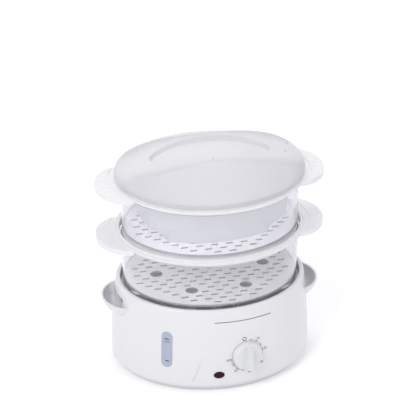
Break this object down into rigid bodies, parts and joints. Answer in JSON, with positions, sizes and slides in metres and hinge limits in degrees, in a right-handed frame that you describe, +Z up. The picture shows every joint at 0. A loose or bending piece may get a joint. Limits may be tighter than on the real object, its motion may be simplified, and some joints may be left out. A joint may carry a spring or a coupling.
{
  "type": "electric food steamer",
  "caption": "Electric food steamer with a white oval base, a timer knob, stacked clear baskets, a rice bowl and a lid",
  "frame": {"origin": "middle of the ground plane under the feet, at the middle of the whole outline", "axes": "+X to the right-hand handles, -Y to the front with the timer knob, +Z up"},
  "size_m": [0.294, 0.2423, 0.2954],
  "materials": {
    "housing_plastic": "moulded polypropylene, smooth satin white",
    "foot_rubber": "soft matt rubber",
    "screw_steel": "zinc plated steel",
    "tank_plastic": "moulded polypropylene, satin",
    "cast_alloy": "cast and machined aluminium",
    "seal_silicone": "translucent silicone",
    "clamp_steel": "pressed steel",
    "thermostat_resin": "moulded phenolic resin",
    "timer_resin": "moulded nylon",
    "knob_plastic": "moulded white plastic, satin gloss",
    "lens_plastic": "dark red tinted lens",
    "lamp_glass": "neon lamp glass",
    "window_plastic": "bluish clear plastic",
    "gland_rubber": "light grey flexible plastic",
    "tray_plastic": "moulded polypropylene, satin white",
    "clear_plastic": "clear polycarbonate with a faint lavender tint",
    "grid_plastic": "moulded white plastic",
    "bowl_plastic": "translucent bluish white plastic",
    "lid_plastic": "translucent pale lavender grey plastic"
  },
  "bodies": {
    "base": {"base_housing": "housing_plastic", "bottom_cover": "housing_plastic", "feet": "foot_rubber", "bottom_screws": "screw_steel", "water_tank": "tank_plastic", "heating_element": "cast_alloy", "heater_seal": "seal_silicone", "heater_clamp": "clamp_steel", "heater_screws": "screw_steel", "boil_dry_thermostat": "thermostat_resin", "thermal_fuse": "clamp_steel", "timer_body": "timer_resin", "timer_bell": "clamp_steel", "timer_screws": "screw_steel", "indicator_lens": "lens_plastic", "neon_lamp": "lamp_glass", "level_window": "window_plastic", "gauge_hose": "seal_silicone", "cord_gland": "gland_rubber", "terminal_block": "timer_resin"},
    "knob": {"timer_knob": "knob_plastic", "timer_shaft": "clamp_steel"},
    "sleeve": {"steam_sleeve": "tray_plastic"},
    "tray": {"drip_tray": "tray_plastic"},
    "lower_tier": {"lower_basket": "clear_plastic", "lower_basket_grid": "grid_plastic"},
    "upper_tier": {"upper_basket": "clear_plastic", "upper_basket_grid": "grid_plastic"},
    "bowl": {"rice_bowl": "bowl_plastic"},
    "cover": {"lid": "lid_plastic"}
  },
  "joints": [
    {"name": "timer_turn", "type": "hinge", "parent": "base", "child": "knob", "pos_m": [0.024, -0.10548, 0.05], "axis": [-0.1585, 0.9874, 0], "range_deg": [0, 270]},
    {"name": "sleeve_lift", "type": "slide", "parent": "base", "child": "sleeve", "axis": [0, 0, -1], "range_m": [-0.095, 0]},
    {"name": "tray_lift", "type": "slide", "parent": "sleeve", "child": "tray", "axis": [0, 0, -1], "range_m": [-0.04, 0]},
    {"name": "lower_basket_lift", "type": "slide", "parent": "tray", "child": "lower_tier", "axis": [0, 0, 1], "range_m": [0, 0.037]},
    {"name": "upper_basket_lift", "type": "slide", "parent": "lower_tier", "child": "upper_tier", "axis": [0, 0, 1], "range_m": [0, 0.0273]},
    {"name": "bowl_lift", "type": "slide", "parent": "upper_tier", "child": "bowl", "axis": [0, 0, 1], "range_m": [0, 0.0457]},
    {"name": "lid_lift", "type": "slide", "parent": "bowl", "child": "cover", "axis": [0, 0, 1], "range_m": [0, 0.0326]}
  ]
}
